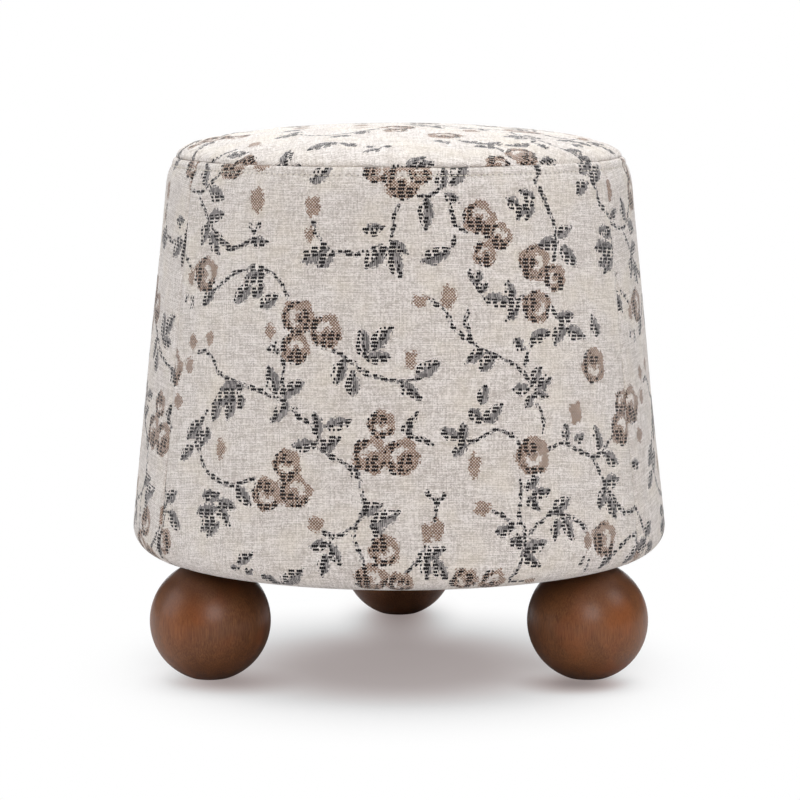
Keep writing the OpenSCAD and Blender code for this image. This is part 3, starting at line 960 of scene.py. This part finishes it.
dust_r, dust_z, dust_t, dust_rings = 0.180, 0.084719, 0.0006, 24
staple_r, staple_z = 0.172, 0.0841
dust_outline = [(dust_r * k / dust_rings, dust_z) for k in range(dust_rings + 1)]
dust_panel = turn("dust_cover_sheet", dust_outline, steps=144)
places = points_of(dust_panel)
radius = np.hypot(places[:, 0], places[:, 1])
slack = 0.25 * np.sin(places[:, 0] / 21 + 1) * np.sin(places[:, 1] / 27)
slack *= np.clip((staple_r * 1000 - radius) / 30, 0, 1)
places[:, 2] += np.maximum(slack, 0)
move_points(dust_panel, places)
thicken(dust_panel, dust_t, offset=0)
settle(dust_panel, finish("black_nonwoven", dust_cloth), "dust_cloth", "dust_cover")

staple_count, wire_r, crown_length, leg = 36, 0.00045, 0.010, 0.0006
staples = draw_tips("dust_cover_staples", 8, wire_r, crown_length, (staple_r, 0, staple_z),
                    leg)
bpy.ops.transform.translate(value=(0, 0, leg * 2))
repeat_round(staple_count)
bpy.ops.object.shade_smooth_by_angle(angle=math.radians(40))
settle(staples, zinc, "zinc_steel")

# Ball feet
# Three hardwood balls turned on the lathe, with a flat above and a flat below, stained
# warm brown and given a satin lacquer. The grain runs upright through each ball.


def painted_warm_highlight(start, colour):
    """A painted warm highlight on the outer front of each front ball."""
    x, y, z = place(start)
    patch_x, patch_y, patch_z, patch_r = 160, -121, 52, 32
    out, back, up = start.math("ABSOLUTE", x) - patch_x, y - patch_y, z - patch_z
    away = start.math("SQRT", out * out + back * back + up * up)
    return away.fade(patch_r, 6, 0.0, 0.35).blend(colour, tint(150, 78, 24))


def stained_wood(start):
    x, y, z = place(start)
    wander = start.point(x * 0.03, y * 0.03, z * 0.01).noise(1.0, 2.0)
    fine = start.point(x * 1.3, y * 1.3, z * 0.07).noise(1.0, 4.0, 0.65)
    pores = start.point(x * 2.6, y * 2.6, z * 0.12).noise(1.0, 2.0).fade(0.58, 0.7)
    broad = start.point(x * 0.11, y * 0.11, z * 0.02).noise(1.0, 3.0)
    blotch = start.point(x * 0.035, y * 0.035, z * 0.03).noise(1.0, 2.0)
    tone = fine * 0.65 + broad * 0.2 + wander * 0.25
    colour = tone.fade(0.38, 0.72).blend(tint(92, 52, 27), tint(138, 88, 52))
    colour = (blotch.fade(0.5, 0.7) * 0.4).blend(colour, tint(146, 78, 36))
    # Dark pores over the painted warm highlight of the front balls.
    colour = (pores * 0.35).blend(painted_warm_highlight(start, colour), tint(58, 32, 18))
    # Painted shade: each ball darkens towards its top, under the body.
    colour = z.fade(46, 84, 0.0, 0.5).blend(colour, tint(56, 30, 18))
    return {"Base Color": colour, "Roughness": fine.fade(0.2, 0.8, 0.42, 0.54),
            "Specular IOR Level": 0.35, "Coat Weight": 0.2, "Coat Roughness": 0.26,
            "Normal": (fine * 0.6 - pores * 0.4).bump(0.12, 0.0002)}


stained = finish("stained_hardwood", stained_wood)
for name in ("foot_front_left", "foot_front_right", "foot_rear"):
    coat_node(name, stained)

# Studio
# A pale floor with a painted shadow under the stool, five soft square lamps round and over
# the stool, and a camera at the photograph's height. The background is white where the
# camera sees it.

# Painted shadow on the floor, where it doesn't glow: under the body, in a round spot, and
# about each foot. A spot has its middle, how many times narrower it is across, where it
# starts to fade and where it ends, in millimetres, and the share of the glow that is left
# in its middle.
painted_shadow_spots = (
    (0, -48, 1, 56, 264, 0.32),
    (0, 162, 2.8, 0, 166, 0.28),
    (-134, -107, 0.9, 0, 66, 0.48),
    (135, -112, 0.9, 0, 54, 0.3),
)


def glow_share(start):
    """The share of the floor's brightness that is glow, which the painted shadow spots hold back.
    """
    x, y, z = place(start)
    share = 1.0
    for spot_x, spot_y, narrow, fade_from, fade_to, least in painted_shadow_spots:
        across, back = (x - spot_x) * narrow, y - spot_y
        away = start.math("SQRT", across * across + back * back)
        share = away.fade(fade_from, fade_to, least, 1.0) * share
    return share


def studio_floor(start):
    # Painted shade: the paper's colour is darker where its glow is held back, under the stool and
    # about the feet.
    paper_with_painted_shade = glow_share(start).fade(0.2, 0.6).blend(tint(164, 160, 160), tint(224, 222, 222))
    return {"Base Color": paper_with_painted_shade, "Roughness": 0.8}


bpy.ops.object.select_all(action="DESELECT")
bpy.ops.mesh.primitive_circle_add(vertices=96, radius=7, fill_type="NGON")
floor = bpy.context.object
floor.name = "studio_floor"
floor_finish = finish("studio_paper", studio_floor)
tree = floor_finish.node_tree
start = Wire(tree)
# The glow is held back in the painted shadow and turns warm pink there: a painted shadow colour.
share = glow_share(start)
painted_shadow_warmth = share.fade(0.2, 0.6).blend((1.0, 0.84, 0.81, 1), (1, 1, 1, 1))
glow = start.node("ShaderNodeEmission", {"Color": painted_shadow_warmth, "Strength": 1.0})
paper_with_painted_shade = Wire(tree, tree.nodes["Principled BSDF"].outputs[0])
seen = start.node("ShaderNodeLightPath", {}, "Is Camera Ray")
mixed = start.node("ShaderNodeMixShader", {0: share * seen, 1: paper_with_painted_shade, 2: glow})
tree.links.new(mixed.socket, tree.nodes["Material Output"].inputs["Surface"])
floor.data.materials.append(floor_finish)

world = bpy.data.worlds.new("studio")
bpy.context.scene.world = world
world.use_nodes = True
tree = world.node_tree
start = Wire(tree)
seen = start.math("MAXIMUM", start.node("ShaderNodeLightPath", {}, "Is Camera Ray"),
                  start.node("ShaderNodeLightPath", {}, "Is Transmission Ray"))
dim = start.node("ShaderNodeBackground", {"Color": (0.96, 0.97, 1.0, 1), "Strength": 0.05})
white = start.node("ShaderNodeBackground", {"Color": (1, 1, 1, 1), "Strength": 1.0})
mixed = start.node("ShaderNodeMixShader", {0: seen, 1: dim, 2: white})
tree.links.new(mixed.socket, tree.nodes["World Output"].inputs["Surface"])

# Each lamp's place, what it aims at, its width in metres, its power and its colour.
cool, plain = (0.95, 0.98, 1.0), (1.0, 1.0, 1.0)
lamps = {
    "overhead": ((0.0, 0.25, 2.2), (0, 0, 0.2), 2.0, 44, cool),
    "back_box": ((0.0, 2.4, 1.1), (0, 0, 0.1), 2.4, 56, cool),
    "left_box": ((-2.0, -0.2, 0.9), (0, 0, 0.2), 1.4, 15, cool),
    "right_box": ((1.7, -0.6, 1.5), (0, 0, 0.2), 0.9, 10, cool),
    "front_box": ((0.4, -2.8, 1.3), (0, 0, 0.2), 1.4, 36, plain),
}
for name, (spot, aim, size, power, colour) in lamps.items():
    lamp = bpy.data.objects.new(name, bpy.data.lights.new(name, "AREA"))
    lamp.data.shape = "SQUARE"
    lamp.data.size = size
    lamp.data.energy = power
    lamp.data.color = colour
    lamp.location = spot
    lamp.rotation_euler = (Vector(aim) - Vector(spot)).to_track_quat("-Z", "Y").to_euler()
    bpy.context.collection.objects.link(lamp)

camera = bpy.data.objects.new("camera", bpy.data.cameras.new("camera"))
looks_down = 7.41
camera.location = (0.0008, -2.3017, 0.4959)
camera.rotation_euler = (math.radians(90 - looks_down), 0, 0)
camera.data.sensor_width = 36
camera.data.lens = 136.7
bpy.context.collection.objects.link(camera)
bpy.context.scene.camera = camera
bpy.context.scene.view_settings.view_transform = "Standard"
